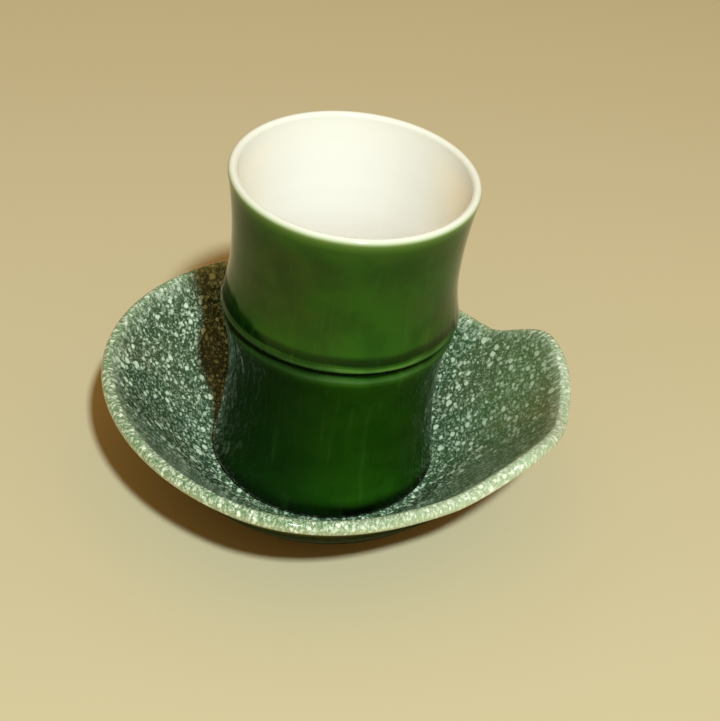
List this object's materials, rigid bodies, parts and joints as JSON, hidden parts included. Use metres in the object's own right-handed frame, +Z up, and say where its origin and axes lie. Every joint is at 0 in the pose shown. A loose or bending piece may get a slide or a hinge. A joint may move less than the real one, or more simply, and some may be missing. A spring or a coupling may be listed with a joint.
{
  "type": "cup in a dish",
  "caption": "Tall glazed cup shaped like a bamboo stem with one node, standing in a round speckled dish with a pulled lobe; the cup lifts off.",
  "frame": {"origin": "on the cup's axis, in the plane of the table that the dish's foot ring stands on", "axes": "+Z up along the cup's axis, +X from the axis towards the middle of the dish's lobe"},
  "size_m": [0.1503, 0.1436, 0.1148],
  "materials": {
    "dish_clay": "bare fired stoneware, matt and slightly gritty",
    "speckled_glaze": "glossy dark blue-green glaze, thick with pale mint specks, lighter over the lip",
    "underside_glaze": "glossy plain grey-green glaze",
    "cup_clay": "bare fired white clay, matt",
    "green_glaze": "glossy see-through green glaze, pooled darker in the groove and at the foot",
    "cream_glaze": "glossy cream-white glaze"
  },
  "bodies": {
    "dish": {"dish_body": "dish_clay", "dish_speckled_glaze": "speckled_glaze", "dish_underside_glaze": "underside_glaze"},
    "cup": {"cup_body": "cup_clay", "cup_green_glaze": "green_glaze", "cup_cream_glaze": "cream_glaze"}
  },
  "joints": [
    {"name": "cup_lift", "type": "slide", "parent": "dish", "child": "cup", "axis": [0, 0, 1], "range_m": [0, 0.12]}
  ]
}
